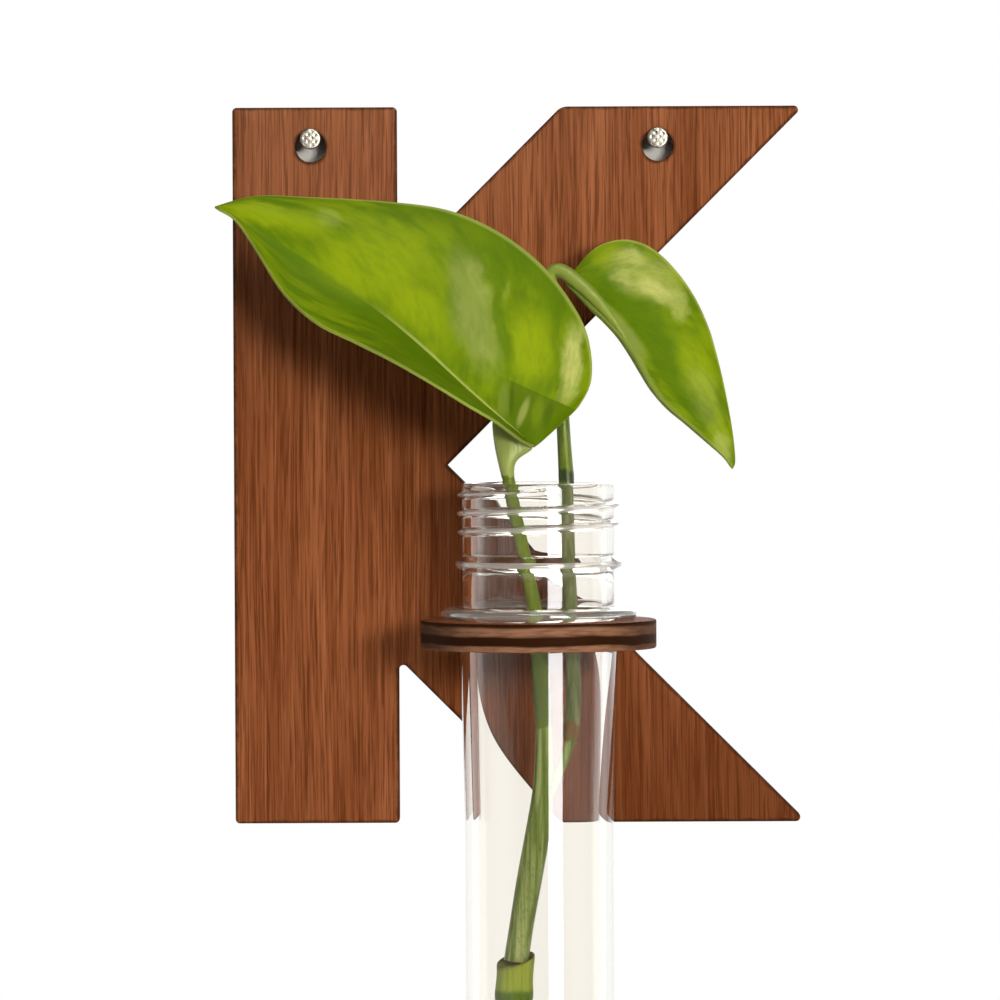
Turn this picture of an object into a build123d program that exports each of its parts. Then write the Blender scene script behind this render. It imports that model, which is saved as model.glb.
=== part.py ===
from build123d import *
import os
from math import cos, pi, radians, sin, sqrt, tan

# A propagation vase: a clear tube hangs by its flange in a wooden ring, the ring is tabbed
# into a board cut as a plain block letter, and the board hangs on two nails in a wall.
# A leaf cutting stands in the tube. All sizes are in millimetres.
# The wall is the plane Y = 0, the front faces -Y and +Z is up.
# The origin is on the wall, midway between the two nails.

# Letter board
board_thickness = 4.8
board_height = 122.0
board_width = 97.4
letter_stem_width = 28.0
notch_width = 28.0  # the V between stem and arm, and between stem and leg, at the board's edge
notch_depth = 28.0
waist_width = 36.4  # from the board's left edge to the V between arm and leg
corner_radius = 0.75
arm_corner_radius = 2.5

# Nails, and the holes that the board hangs by
nail_diameter = 2.0
nail_grip_diameter = 2.4  # over the grip marks under the head, on the length that stands out of the wall
nail_length = 25.0
nail_point_length = 3.5
nail_tip_diameter = 0.4
nail_head_diameter = 3.6
nail_head_thickness = 1.0
nail_head_gap = 0.5  # between the board's face and the head
hole_diameter = 5.2
hole_from_left = 13.3
hole_from_right = 25.0
hole_from_top = 6.7
hang_clearance = 0.05  # between the hole's top and the nail that carries it

# Ring that carries the tube, with a neck that stops at the board and a tab that goes through it
ring_thickness = 4.8
ring_width = 6.05  # from the hole to the outer edge
ring_off_middle = 3.0  # the tube's axis, right of the board's middle
ring_below_middle = 25.45  # the ring's top face
ring_to_board = 1.4  # the least gap between the round edge and the board
neck_width = 16.0
tab_width = 10.0
slot_clearance = 0.1

# Tube
tube_length = 140.0
tube_neck_height = 23.0  # rim to the underside of the flange
tube_clearance = 0.55  # between the tube under its flange and the ring's hole
neck_diameter = 25.5
neck_wall = 1.9
rim_chamfer = 0.55
bead_reach = 1.25  # how far the bead stands out of the neck
bead_height = 9.4  # the bead's middle, above the flange's underside
bead_land = 0.9
bead_slope = 0.75  # the height of each sloped side
flange_overhang = 2.75  # how far the flange reaches over the ring, past its hole
flange_thickness = 1.9
flange_chamfer = 0.5
shoulder_diameter = 26.4  # the body just under the flange
body_taper = 1.5  # how much narrower the body is below its taper
taper_length = 37.0
body_wall = 2.4

# Cutting: the stem, the stalks and the roots
lean_clearance = 0.3  # between the cutting and the tube that it leans on
stem_diameter = 4.2
joint_across = 5.2  # the stem's top, where the stalks meet, right of the tube's axis
joint_back = 0.4  # and behind it
joint_drop = 43.2  # and below the rim
sheath_diameter = 2.8
sheath_start = 2.4  # the straight run out of the stem's top
sheath_sway = 0.8  # how far the sheath bows to the right above the joint
sheath_lean = 4.8  # how far right of the tube's axis the sheath leans on the rim
sheath_rise = 1.2  # the sheath's end, above the rim
right_stalk_diameter = 1.9
right_stalk_start = 4.0  # the straight run out of the sheath
hook_reach = 4.0  # the hook at the right stalk's end, left of the blade's base
hook_back = 0.6  # and behind it, clear of the large blade
hook_rise = 1.0  # and above it
hook_run = 3.2  # the hook's last run, in line with the blade
left_stalk_diameter = 2.3
left_stalk_share = 0.17  # where the left stalk leaves the stem, as a share of the stem's length
knee_length = 6.6  # the flared end of the left stalk, along the blade's keel
knee_width = 2.0
knee_height = 4.0
knee_inset = 0.4  # from the blade's base to the flared end
knee_gap = 0.3
collar_diameter = 6.6
collar_height = 8.0
collar_drop = 80.3  # from the rim down to the seat of the stem in the collar
collar_clearance = 2.7  # between the collar and the tube's wall
dish_depth = 1.0  # the scar around the stem, on top of the collar
dish_lip = 0.4
dish_floor = 0.2
stem_end_diameter = 4.0
stem_end_length = 9.0
root_diameter = 1.1
root_count = 3
root_drop = 16.0  # from the collar down to where the first root meets the wall
root_drop_step = 4.0
root_turn = 80.0
root_gap = 0.3  # between a root and the end of the stem beside it

# Cutting: the leaf blades, placed to the right of the tube's axis, behind it and below the rim
left_blade_base = (-0.4, -2.0, -5.2)
left_blade_tip = (-54.2, 4.0, -46.3)
left_blade_slope = 37.1  # how far the upper half tips over to the right, seen from the front
right_blade_base = (6.7, 10.4, -33.2)
right_blade_tip = (32.6, 0.9, -2.2)
right_blade_slope = 49.5
blade_thickness = 0.6
blade_stations = 9
blade_start_share = 0.17  # where a blade's outline is cut off at its base, on a half wave
blade_end_share = 0.995
blade_fullness_power = 0.8
blade_crown_share = 0.03  # each half's bulge, of its width
blade_lean = 20.0  # how far a blade's upper half leans back to the wall
left_blade_upper = 26.0  # half widths
left_blade_lower = 16.0
left_blade_bow = 3.2  # how far the midrib bows away from its chord
left_fold_at_base = 62.0
left_fold_at_tip = 18.0
right_blade_upper = 15.4
right_blade_lower = 8.0
right_blade_bow = -0.8
right_fold = -110.0

# Places worked out from the sizes above
nail_spacing = board_width - hole_from_left - hole_from_right
grip_radius = nail_grip_diameter / 2
hole_radius = hole_diameter / 2
hole_z = grip_radius + hang_clearance - hole_radius
board_top = hole_z + hole_from_top
board_middle = board_top - board_height / 2
board_left = -nail_spacing / 2 - hole_from_left
ring_hole_radius = shoulder_diameter / 2 + tube_clearance
ring_radius = ring_hole_radius + ring_width
tube_x = board_left + board_width / 2 + ring_off_middle
tube_y = -board_thickness - ring_to_board - ring_radius
seat_z = board_middle - ring_below_middle
rim_z = seat_z + tube_neck_height
neck_radius = neck_diameter / 2
neck_bore_radius = neck_radius - neck_wall
body_radius = (shoulder_diameter - body_taper) / 2
body_bore_radius = body_radius - body_wall

os.makedirs("parts", exist_ok=True)


def save(builder, name):
    """Label a finished piece and write it under its own name."""
    builder.part.label = name
    export_step(builder.part, f"parts/{name}.step")


def in_tube(across, back, drop):
    """A point given from the tube's axis: to the right, towards the wall, and below the rim."""
    return Vector(tube_x + across, tube_y + back, rim_z - drop)


def between(first, last, share):
    """The value at a share of the way from one to another."""
    return first + (last - first) * share


def on_the_way(first, last, across, back, up):
    """A point at its own share of the way from one point to another in each direction."""
    return Vector(
        between(first.X, last.X, across),
        between(first.Y, last.Y, back),
        between(first.Z, last.Z, up),
    )


def stalk_path(*points):
    """A path with the largest round bend at each inner point that its two runs leave room for."""
    radii = []
    for before, here, after in zip(points, points[1:], points[2:]):
        turn = radians((here - before).get_angle(after - here))
        shorter_run = min((here - before).length, (after - here).length)
        radii.append(0.45 * shorter_run / tan(turn / 2))
    with BuildLine() as path:
        FilletPolyline(*points, radius=radii)
    return path.line


def square_to(path, share):
    """The plane square to a path at a share of its length."""
    return Plane(origin=path @ share, z_dir=path % share)


def blade_plane(base, tip, slope):
    """The plane square to a blade's chord: X along its upper half, Y out of its upper face."""
    lean = radians(blade_lean)
    tilt = radians(slope)
    upper_half = Vector(sin(tilt) * cos(lean), sin(lean), cos(tilt) * cos(lean))
    plane = Plane(origin=base, x_dir=upper_half, z_dir=tip - base)
    if plane.y_dir.Y > 0:
        plane = Plane(origin=base, x_dir=upper_half, z_dir=base - tip)
    return plane


def blade_section(plane, upper, lower, fold, bow):
    """One thin section of a blade: two bulged halves that meet at the keel."""
    turn = radians(fold)
    upper_normal = Vector(0, 1)
    lower_normal = Vector(sin(turn), cos(turn))
    keel = Vector(bow, 0)
    upper_edge = keel + Vector(upper, 0)
    lower_edge = keel + Vector(-cos(turn), sin(turn)) * lower
    upper_middle = (keel + upper_edge) / 2 - upper_normal * (blade_crown_share * upper)
    lower_middle = (keel + lower_edge) / 2 - lower_normal * (blade_crown_share * lower)
    upper_skin = upper_normal * blade_thickness
    lower_skin = lower_normal * blade_thickness
    keel_skin = (upper_normal + lower_normal) * (blade_thickness / (1 + cos(turn)))
    with BuildSketch(plane) as section:
        with BuildLine():
            ThreePointArc(lower_edge, lower_middle, keel)
            ThreePointArc(keel, upper_middle, upper_edge)
            Line(upper_edge, upper_edge + upper_skin)
            ThreePointArc(upper_edge + upper_skin, upper_middle + upper_skin, keel + keel_skin)
            ThreePointArc(keel + keel_skin, lower_middle + lower_skin, lower_edge + lower_skin)
            Line(lower_edge + lower_skin, lower_edge)
        make_face()
    return section.sketch


def blade_sections(base, tip, slope, upper, lower, bow, folds):
    """Sections from base to tip of a heart-shaped blade, closer together where it widens fast."""
    plane = blade_plane(base, tip, slope)
    sections = []
    for number in range(blade_stations):
        station = between(blade_start_share, blade_end_share, number / (blade_stations - 1))
        along = (station**2 - blade_start_share**2) / (blade_end_share**2 - blade_start_share**2)
        share = sin(pi * station) ** blade_fullness_power
        fold = between(*folds, along)
        plane.origin = between(base, tip, along)
        sections.append(
            blade_section(plane, upper * share, lower * share, fold, bow * sin(pi * along))
        )
    return sections


# The letter board, with its hanging holes and the slot for the ring's tab
with BuildPart() as letter_board:
    board_right = board_left + board_width
    arm_start = board_left + letter_stem_width + notch_width
    upper_half = [
        (board_left, board_top),
        (board_left + letter_stem_width, board_top),
        (board_left + letter_stem_width, board_top - notch_depth),
        (arm_start, board_top),
        (board_right, board_top),
    ]
    lower_half = [(x, 2 * board_middle - z) for x, z in reversed(upper_half)]
    with BuildSketch(Plane.XZ) as letter:
        with BuildLine():
            Polyline(*upper_half, (board_left + waist_width, board_middle), *lower_half, close=True)
        make_face()
        arm_corners = letter.vertices().filter_by(lambda corner: abs(corner.X - arm_start) < 0.01)
        fillet(arm_corners, arm_corner_radius)
        sharp_corners = letter.vertices().filter_by(
            lambda corner: any(abs(corner.X - x) < 0.01 for x, z in upper_half)
        )
        fillet(sharp_corners, corner_radius)
        with Locations((-nail_spacing / 2, hole_z), (nail_spacing / 2, hole_z)):
            Circle(hole_radius, mode=Mode.SUBTRACT)
        with Locations((tube_x, seat_z - ring_thickness / 2)):
            Rectangle(
                tab_width + 2 * slot_clearance,
                ring_thickness + 2 * slot_clearance,
                mode=Mode.SUBTRACT,
            )
    extrude(amount=board_thickness)
save(letter_board, "letter_board")

# The ring, its neck against the board's face and its tab through the slot
with BuildPart() as tube_ring:
    with BuildSketch(Plane.XY.offset(seat_z - ring_thickness)):
        with Locations((tube_x, tube_y)):
            Circle(ring_radius)
            Rectangle(neck_width, -board_thickness - tube_y, align=(Align.CENTER, Align.MIN))
        with Locations((tube_x, -board_thickness)):
            Rectangle(tab_width, board_thickness, align=(Align.CENTER, Align.MIN))
        with Locations((tube_x, tube_y)):
            Circle(ring_hole_radius, mode=Mode.SUBTRACT)
    extrude(amount=ring_thickness)
save(tube_ring, "tube_ring")

# The two nails
with BuildPart() as wall_nails:
    head_back = -board_thickness - nail_head_gap
    nail_end = head_back + nail_length
    for nail_x in (-nail_spacing / 2, nail_spacing / 2):
        with BuildSketch(Plane((nail_x, 0, 0))):
            with BuildLine():
                Polyline(
                    (0, head_back - nail_head_thickness),
                    (nail_head_diameter / 2, head_back - nail_head_thickness),
                    (nail_head_diameter / 2, head_back),
                    (grip_radius, head_back),
                    (grip_radius, 0),
                    (nail_diameter / 2, 0),
                    (nail_diameter / 2, nail_end - nail_point_length),
                    (nail_tip_diameter / 2, nail_end),
                    (0, nail_end),
                    close=True,
                )
            make_face()
        revolve(axis=Axis((nail_x, 0, 0), (0, 1, 0)))
save(wall_nails, "wall_nails")

# The tube: a rim, a neck with a bead, the flange that it hangs by, a tapered body and a domed base
with BuildPart() as tube:
    flange_radius = ring_hole_radius + flange_overhang
    bead_radius = neck_radius + bead_reach
    bead_top = bead_height + bead_land / 2
    bead_bottom = bead_height - bead_land / 2
    base_z = tube_neck_height - tube_length
    dome_z = base_z + body_radius
    with BuildSketch(Plane((tube_x, tube_y, seat_z), x_dir=(1, 0, 0), z_dir=(0, -1, 0))):
        with BuildLine():
            CenterArc((0, dome_z), body_radius, -90, 90)
            Polyline(
                (body_radius, dome_z),
                (body_radius, -taper_length),
                (shoulder_diameter / 2, 0),
                (flange_radius, 0),
                (flange_radius, flange_thickness),
                (neck_radius, flange_thickness),
                (neck_radius, bead_bottom - bead_slope),
                (bead_radius, bead_bottom),
                (bead_radius, bead_top),
                (neck_radius, bead_top + bead_slope),
                (neck_radius, tube_neck_height),
                (neck_bore_radius, tube_neck_height),
                (neck_bore_radius, 0),
                (body_bore_radius, -taper_length),
                (body_bore_radius, dome_z),
            )
            CenterArc((0, dome_z), body_bore_radius, -90, 90)
            Line((0, base_z), (0, dome_z - body_bore_radius))
        make_face()
    revolve(axis=Axis((tube_x, tube_y, 0), (0, 0, 1)))
    rim_edges = tube.faces().filter_by(Plane.XY).sort_by(Axis.Z)[-1].edges()
    chamfer(rim_edges, rim_chamfer)
    flange_edges = tube.faces().filter_by(GeomType.CYLINDER).sort_by(lambda face: face.radius)[-1].edges()
    chamfer(flange_edges.filter_by(GeomType.CIRCLE), flange_chamfer)
save(tube, "tube")

# The stem, from the collar up to the joint of the two stalks
collar_across = -(body_bore_radius - collar_diameter / 2 - collar_clearance)
joint = in_tube(joint_across, joint_back, joint_drop)
collar_place = in_tube(collar_across, joint_back, collar_drop)
stem_line = stalk_path(
    joint,
    on_the_way(joint, collar_place, 0.31, 0.1, 0.11),
    on_the_way(joint, collar_place, 0.63, 0.4, 0.37),
    on_the_way(joint, collar_place, 0.82, 0.7, 0.66),
    collar_place,
)
with BuildPart() as stem:
    with BuildSketch(square_to(stem_line, 0)):
        Circle(stem_diameter / 2)
    sweep(path=stem_line)
save(stem, "stem")

# The collar at the old leaf's node, dished around the stem's end
collar_seat = square_to(stem_line, 1)
with BuildPart() as node_collar:
    with BuildSketch(collar_seat.offset(-dish_depth)):
        Circle(collar_diameter / 2)
    extrude(amount=dish_depth + collar_height)
    with Locations(collar_seat.offset(-dish_depth / 2)):
        Cone(
            collar_diameter / 2 - dish_lip,
            stem_diameter / 2 + dish_floor,
            dish_depth,
            mode=Mode.SUBTRACT,
        )
save(node_collar, "node_collar")

# The cut end of the stem, under the collar
collar_foot = collar_seat.offset(collar_height)
with BuildPart() as stem_end:
    with BuildSketch(collar_foot):
        Circle(stem_end_diameter / 2)
    extrude(amount=stem_end_length)
save(stem_end, "stem_end")

# Roots that start under the collar and bend out until they lean on the tube's wall
with BuildPart() as roots:
    start_reach = stem_end_diameter / 2 + root_gap + root_diameter / 2
    wall_reach = body_bore_radius - lean_clearance - root_diameter / 2
    for number in range(root_count):
        bearing = Vector(-1, 0, 0).rotate(Axis.Z, -root_turn * number)
        start = collar_foot.origin + bearing * start_reach
        start = collar_foot.to_local_coords(start)
        start = collar_foot.from_local_coords(Vector(start.X, start.Y, 0))
        drop = collar_drop + collar_height + root_drop + root_drop_step * number
        end = in_tube(bearing.X * wall_reach, bearing.Y * wall_reach, drop)
        bend = start + collar_foot.z_dir * (root_drop / 2)
        root_line = stalk_path(start, bend, end)
        with BuildSketch(square_to(root_line, 0)):
            Circle(root_diameter / 2)
        sweep(path=root_line)
save(roots, "roots")

# The sheath of the right stalk, from the stem's top to where it leans on the rim
rim_reach = neck_bore_radius - lean_clearance - sheath_diameter / 2
sheath_back = sqrt(rim_reach**2 - sheath_lean**2)
stem_top = square_to(stem_line, 0)
rim_place = in_tube(sheath_lean, sheath_back, 0)
sheath_line = stalk_path(
    joint,
    joint - stem_top.z_dir * sheath_start,
    on_the_way(joint, rim_place, 0, 0.27, 0.21) + Vector(sheath_sway, 0, 0),
    rim_place,
    rim_place + Vector(0, 0, sheath_rise),
)
with BuildPart() as sheath_right:
    with BuildSketch(square_to(sheath_line, 0)):
        Circle(sheath_diameter / 2)
    sweep(path=sheath_line)
save(sheath_right, "sheath_right")

# The right stalk, from the sheath's top up behind the large leaf and over into the small one
right_base = in_tube(*right_blade_base)
right_tip = in_tube(*right_blade_tip)
sheath_top = square_to(sheath_line, 1)
right_along = (right_tip - right_base).normalized()
right_stalk_line = stalk_path(
    sheath_top.origin,
    sheath_top.origin + sheath_top.z_dir * right_stalk_start,
    right_base + Vector(-hook_reach, hook_back, hook_rise),
    right_base - right_along * hook_run,
    right_base,
)
with BuildPart() as petiole_right:
    with BuildSketch(square_to(right_stalk_line, 0)):
        Circle(right_stalk_diameter / 2)
    sweep(path=right_stalk_line)
save(petiole_right, "petiole_right")

# The small right blade, folded so far that its lower half lies behind the upper
with BuildPart() as leaf_right:
    loft(
        blade_sections(
            right_base,
            right_tip,
            right_blade_slope,
            right_blade_upper,
            right_blade_lower,
            right_blade_bow,
            (right_fold, right_fold),
        )
    )
save(leaf_right, "leaf_right")

# The large left blade, which unfolds from its base to its tip
left_base = in_tube(*left_blade_base)
left_tip = in_tube(*left_blade_tip)
with BuildPart() as leaf_left:
    loft(
        blade_sections(
            left_base,
            left_tip,
            left_blade_slope,
            left_blade_upper,
            left_blade_lower,
            left_blade_bow,
            (left_fold_at_base, left_fold_at_tip),
        )
    )
save(leaf_left, "leaf_left")

# The left stalk, out of the stem's side and flared into a knee under the large blade's keel
left_plane = blade_plane(left_base, left_tip, left_blade_slope)
left_fold = radians(left_fold_at_base)
lower_half_dir = left_plane.y_dir * sin(left_fold) - left_plane.x_dir * cos(left_fold)
keel_dir = (left_tip - left_base + left_plane.x_dir * (left_blade_bow * pi)).normalized()
knee_up = keel_dir.cross(lower_half_dir).normalized()
knee_top = left_base + keel_dir * (knee_inset + knee_length / 2) - knee_up * knee_gap
knee_foot = knee_top - knee_up * knee_height
left_stalk_start = stem_line @ left_stalk_share
left_stalk_line = stalk_path(
    left_stalk_start,
    on_the_way(left_stalk_start, knee_foot, 0.2, 0.8, 0.37),
    on_the_way(left_stalk_start, knee_foot, 0.42, 1.1, 0.61),
    on_the_way(left_stalk_start, knee_foot, 0.8, 1.2, 0.82),
    knee_foot,
)
with BuildPart() as petiole_left:
    with BuildSketch(square_to(left_stalk_line, 0)):
        Circle(left_stalk_diameter / 2)
    sweep(path=left_stalk_line)
    with BuildSketch(square_to(left_stalk_line, 1)):
        Circle(left_stalk_diameter / 2)
    with BuildSketch(Plane(origin=knee_top, x_dir=keel_dir, z_dir=knee_up)):
        Ellipse(knee_length / 2, knee_width / 2)
    loft()
    add(stem.part, mode=Mode.SUBTRACT)
save(petiole_left, "petiole_left")
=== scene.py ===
"""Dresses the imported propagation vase: wood, nails, clear tube and leaf cutting, with a small studio."""

import math

import bmesh
import bpy
from bpy.props import FloatProperty, FloatVectorProperty, PointerProperty
from mathutils import Matrix, Vector


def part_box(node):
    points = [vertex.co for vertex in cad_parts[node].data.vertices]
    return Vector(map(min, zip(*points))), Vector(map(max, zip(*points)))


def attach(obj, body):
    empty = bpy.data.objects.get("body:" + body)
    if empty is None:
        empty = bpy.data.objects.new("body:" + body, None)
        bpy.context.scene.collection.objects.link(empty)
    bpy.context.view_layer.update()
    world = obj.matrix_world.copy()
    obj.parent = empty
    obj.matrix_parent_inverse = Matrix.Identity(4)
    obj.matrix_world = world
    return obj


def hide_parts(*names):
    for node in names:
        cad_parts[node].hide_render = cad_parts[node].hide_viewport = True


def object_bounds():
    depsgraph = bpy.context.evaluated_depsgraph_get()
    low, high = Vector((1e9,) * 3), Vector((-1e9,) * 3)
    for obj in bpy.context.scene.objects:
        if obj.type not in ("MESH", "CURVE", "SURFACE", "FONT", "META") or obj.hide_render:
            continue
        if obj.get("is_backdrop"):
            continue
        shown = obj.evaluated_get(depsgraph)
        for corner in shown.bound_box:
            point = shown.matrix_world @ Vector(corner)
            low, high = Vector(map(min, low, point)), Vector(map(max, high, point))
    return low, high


bl_info = {
    "name": "Propagation Vase Dresser",
    "version": (1, 0, 0),
    "blender": (4, 5, 0),
    "location": "View3D > Sidebar > Vase",
    "description": "Models the visible pieces of a propagation vase on its packed frame",
    "category": "Object",
}

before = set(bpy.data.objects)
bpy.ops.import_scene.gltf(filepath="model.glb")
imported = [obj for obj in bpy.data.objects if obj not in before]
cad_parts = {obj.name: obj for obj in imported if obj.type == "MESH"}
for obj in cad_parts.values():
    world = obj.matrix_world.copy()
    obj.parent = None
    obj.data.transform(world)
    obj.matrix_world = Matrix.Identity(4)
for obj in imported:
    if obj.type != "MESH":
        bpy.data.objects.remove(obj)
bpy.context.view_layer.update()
MM = 0.001
FLAT = 0.99

# Nails and hanging holes, in metres
NAIL_HEAD_RADIUS = 0.0018
NAIL_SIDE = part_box("wall_nails")[1].x - NAIL_HEAD_RADIUS
HOLE_RADIUS = 0.0026
HOLE_DROP = 0.0014

# A nail's outline: radius and distance behind its front, for the rim of the head and for one grip mark
NAIL_RIM = ((1.62, 0.08), (1.74, 0.2), (1.8, 0.38), (1.8, 0.8), (1.7, 0.98), (1.2, 1.0))
NAIL_GRIP = ((1.2, 1.5), (1.06, 1.62), (1.06, 1.78), (1.2, 1.9))
NAIL_GRIP_STEP = 0.7
NAIL_DISH = 0.04

# The tube in mm: radii of the body, the neck and the flange's lip, and the neck's height over the flange's seat
BODY_RADIUS = 12.45
BODY_BORE = 10.05
NECK_RADIUS = 12.75
NECK_BORE = 10.85
NECK_HEIGHT = 23.0
LIP_MIDDLE = 15.55
LIP_RADIUS = 0.95

# Stretches of the tube's outline: radius and height over the seat, or under the rim
SHOULDER = ((BODY_RADIUS, -60), (BODY_RADIUS, -37), (12.9, -16), (13.2, -0.3), (13.3, 0))
NECK = (
    ((13.3, 1.92), (12.9, 2.1), (NECK_RADIUS, 2.5), (NECK_RADIUS, 8.1), (12.85, 8.3), (13.9, 8.9))
    + ((14.0, 9.05), (14.0, 9.6), (13.85, 9.9), (12.9, 10.6), (NECK_RADIUS, 10.9))
)
RIM = ((12.68, 0.4), (12.45, 0.1), (12.1, 0), (11.4, 0), (11.05, 0.12), (10.88, 0.4), (NECK_BORE, 0.8))
BORE = ((NECK_BORE, 10), (NECK_BORE, 0), (10.45, -18), (BODY_BORE, -37), (BODY_BORE, -60))

# The thread: its foot over the seat, its top and its first turn under the rim in mm, its run and fade in turns
THREAD_FOOT = 11.2
THREAD_TOP = 0.9
THREAD_FIRST = 8.3
THREAD_RINGS = 110
THREAD_START, THREAD_END, THREAD_FADE = -0.3, 2.3, 0.25
THREAD_HALF, THREAD_FLANK = 0.00075, 0.0006

# Finishes of the tube: name, base colour, clearness, roughness and gloss
TUBE_FINISHES = (
    ("tube_plastic", (0.985, 0.962, 0.912), 0.997, 0.0, 1.0),
    ("tube_plastic_milky", (0.74, 0.69, 0.62), 0.62, 0.16, 1.0),
    ("tube_plastic_inner", (0.985, 0.962, 0.912), 0.997, 0.0, 0.0),
    ("tube_plastic_flange", (0.84, 0.8, 0.74), 0.8, 0.1, 1.0),
)
MILKY, INNER, FLANGE = 1, 2, 3

# The big leaf at shares of its length: upper edge x z, midrib x z, lower edge x z, lower edge's reach forward
BIG_LEAF = (
    (0.00, 8.3, -52.1, 8.3, -52.1, 8.3, -52.1, 0.0),
    (0.06, 12.5, -48.4, 6.7, -50.9, 6.2, -51.1, 3.0),
    (0.12, 15.9, -45.1, 5.2, -49.6, 4.0, -49.4, 6.5),
    (0.20, 17.9, -40.6, 3.0, -47.8, 1.6, -47.6, 10.0),
    (0.30, 17.2, -33.4, -0.7, -44.6, -3.4, -44.6, 12.5),
    (0.40, 13.9, -27.0, -5.1, -40.6, -8.9, -41.2, 13.0),
    (0.50, 9.2, -21.3, -10.1, -35.9, -15.2, -37.6, 12.0),
    (0.60, 2.5, -16.2, -16.0, -30.8, -21.4, -34.5, 10.0),
    (0.70, -5.9, -12.5, -22.7, -25.8, -28.1, -31.2, 7.5),
    (0.80, -16.0, -11.0, -30.3, -20.6, -33.7, -26.1, 5.0),
    (0.90, -29.5, -10.2, -37.9, -15.6, -38.7, -18.2, 2.5),
    (0.96, -38.7, -10.0, -42.4, -12.9, -41.9, -13.7, 1.0),
    (1.00, -45.3, -11.7, -45.3, -11.7, -45.3, -11.7, 0.0),
)

# The small leaf at shares of its length: outer edge x z, midrib x z, rolled side x z
SMALL_LEAF = (
    (0.00, 14.5, -23.8, 14.5, -23.8, 13.6, -24.3),
    (0.08, 17.7, -19.9, 15.6, -25.3, 14.5, -25.5),
    (0.15, 20.2, -18.2, 17.5, -27.3, 16.0, -27.0),
    (0.23, 23.6, -17.5, 19.5, -29.5, 18.0, -29.2),
    (0.31, 26.9, -18.2, 21.7, -31.9, 20.3, -31.4),
    (0.38, 29.8, -20.1, 23.7, -34.4, 22.5, -33.9),
    (0.46, 32.8, -23.3, 25.6, -37.1, 24.5, -36.9),
    (0.54, 35.6, -27.5, 27.1, -40.1, 26.2, -39.8),
    (0.62, 37.8, -32.5, 28.7, -43.0, 28.1, -42.8),
    (0.69, 39.3, -37.9, 31.1, -45.7, 30.6, -45.7),
    (0.77, 40.6, -44.0, 34.1, -48.3, 33.7, -48.3),
    (0.85, 41.6, -50.2, 37.4, -51.2, 37.4, -51.5),
    (0.92, 41.9, -54.4, 40.1, -53.7, 40.1, -53.9),
    (1.00, 41.6, -55.9, 41.6, -55.9, 41.6, -55.9),
)

# Oval patches of a leaf, seen from the front: middle x z, half width and height, tilt, strength and kind
BIG_PATCHES = (
    ((-18.5, -21.1), (13.0, 8.0), 0, 0.75, "bright"),
    ((-10.9, -29.2), (6.5, 5.0), 40, 0.85, "bright"),
    ((-26.2, -13.6), (3.4, 1.6), 10, 0.2, "pale"),
    ((-31.0, -14.5), (6.0, 3.0), 20, 0.5, "bright"),
    ((-38.0, -12.6), (7.5, 2.6), 10, 0.85, "bright"),
    ((7.5, -35.4), (5.4, 8.5), -8, 0.95, "bright"),
    ((2.0, -22.1), (2.6, 6.0), -20, 0.7, "deep"),
    ((11.2, -26.1), (2.4, 5.5), -25, 0.6, "deep"),
    # Painted reflection: the grey band and the three small pale spots around it stand for the window's sheen on the
    # big leaf
    ((-1.9, -29.0), (4.9, 14.0), -14.8, 0.95, "grey"),
    ((-1.0, -24.0), (1.4, 5.0), -16, 0.18, "pale"),
    ((0.4, -36.0), (1.2, 4.0), -30, 0.14, "pale"),
    ((2.9, -31.0), (1.4, 12.0), -11.2, 0.75, "deep"),
    ((3.8, -26.2), (0.7, 2.6), 15, 0.15, "pale"),
    ((14.4, -37.9), (2.5, 8.6), 8, 0.95, "pale"),
)
SMALL_PATCHES = (
    ((20.3, -19.6), (3.4, 2.8), 0, 0.7, "bright"),
    ((35.5, -38.6), (4.0, 8.5), -15, 0.7, "bright"),
    ((39.5, -50.5), (3.0, 4.5), -20, 0.6, "bright"),
    # Painted reflection: these pale patches near the small leaf's top stand for the window's sheen on it
    ((24.7, -20.3), (3.6, 1.9), 10, 0.65, "pale"),
    ((28.8, -26.0), (4.8, 2.3), 28, 0.95, "pale"),
    ((22.9, -23.6), (3.2, 1.2), 20, 0.4, "pale"),
    ((33.0, -28.5), (2.0, 4.0), -25, 0.5, "pale"),
    ((27.0, -23.5), (8.5, 5.0), 25, 0.5, "pale"),
    ((37.0, -44.0), (3.5, 8.0), -20, 0.17, "pale"),
    ((40.3, -52.0), (2.2, 3.4), -15, 0.45, "pale"),
)

# Soft marks inside the painted shade at the big leaf's base, given as the patches are
BASE_MARKS = (
    ((4.5, -44.4), (0.55, 4.2), 3, 0.6, "dark"),
    ((3.1, -44.4), (1.3, 4.2), 3, 0.35, "grey"),
    ((6.4, -46.3), (0.9, 3.6), 20.8, 0.42, "pale"),
    ((8.8, -46.2), (1.3, 3.4), 12, 0.3, "bright"),
    ((10.6, -46.8), (1.0, 3.4), 15, 0.45, "dark"),
)

# Bands of a leaf that follow its midrib: limits across, limits along, strength and kind
BIG_BANDS = (
    # Painted shade: this deep band darkens the valley just below the big leaf's midrib, where the blade folds
    ((-0.7, -0.25, -0.02, 0.04), (0.3, 0.5, 0.86, 0.95), 0.85, "deep"),
    ((-1.3, -1.2, -0.02, 0.02), (0.0, 0.08, 0.5, 0.62), 0.6, "deep"),
    ((0.7, 0.97, 1.2, 1.3), (0.28, 0.42, 0.7, 0.82), 0.65, "deep"),
)
SMALL_BANDS = (
    ((0.1, 0.2, 0.4, 0.7), (0.05, 0.2, 0.75, 0.95), 0.8, "deep"),
    ((-1.3, -1.2, 0.1, 0.18), (-0.2, -0.1, 0.42, 0.55), 0.8, "grey"),
    ((-1.3, -1.2, 0.02, 0.06), (0.4, 0.5, 0.95, 1.1), 0.7, "grey"),
)

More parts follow.
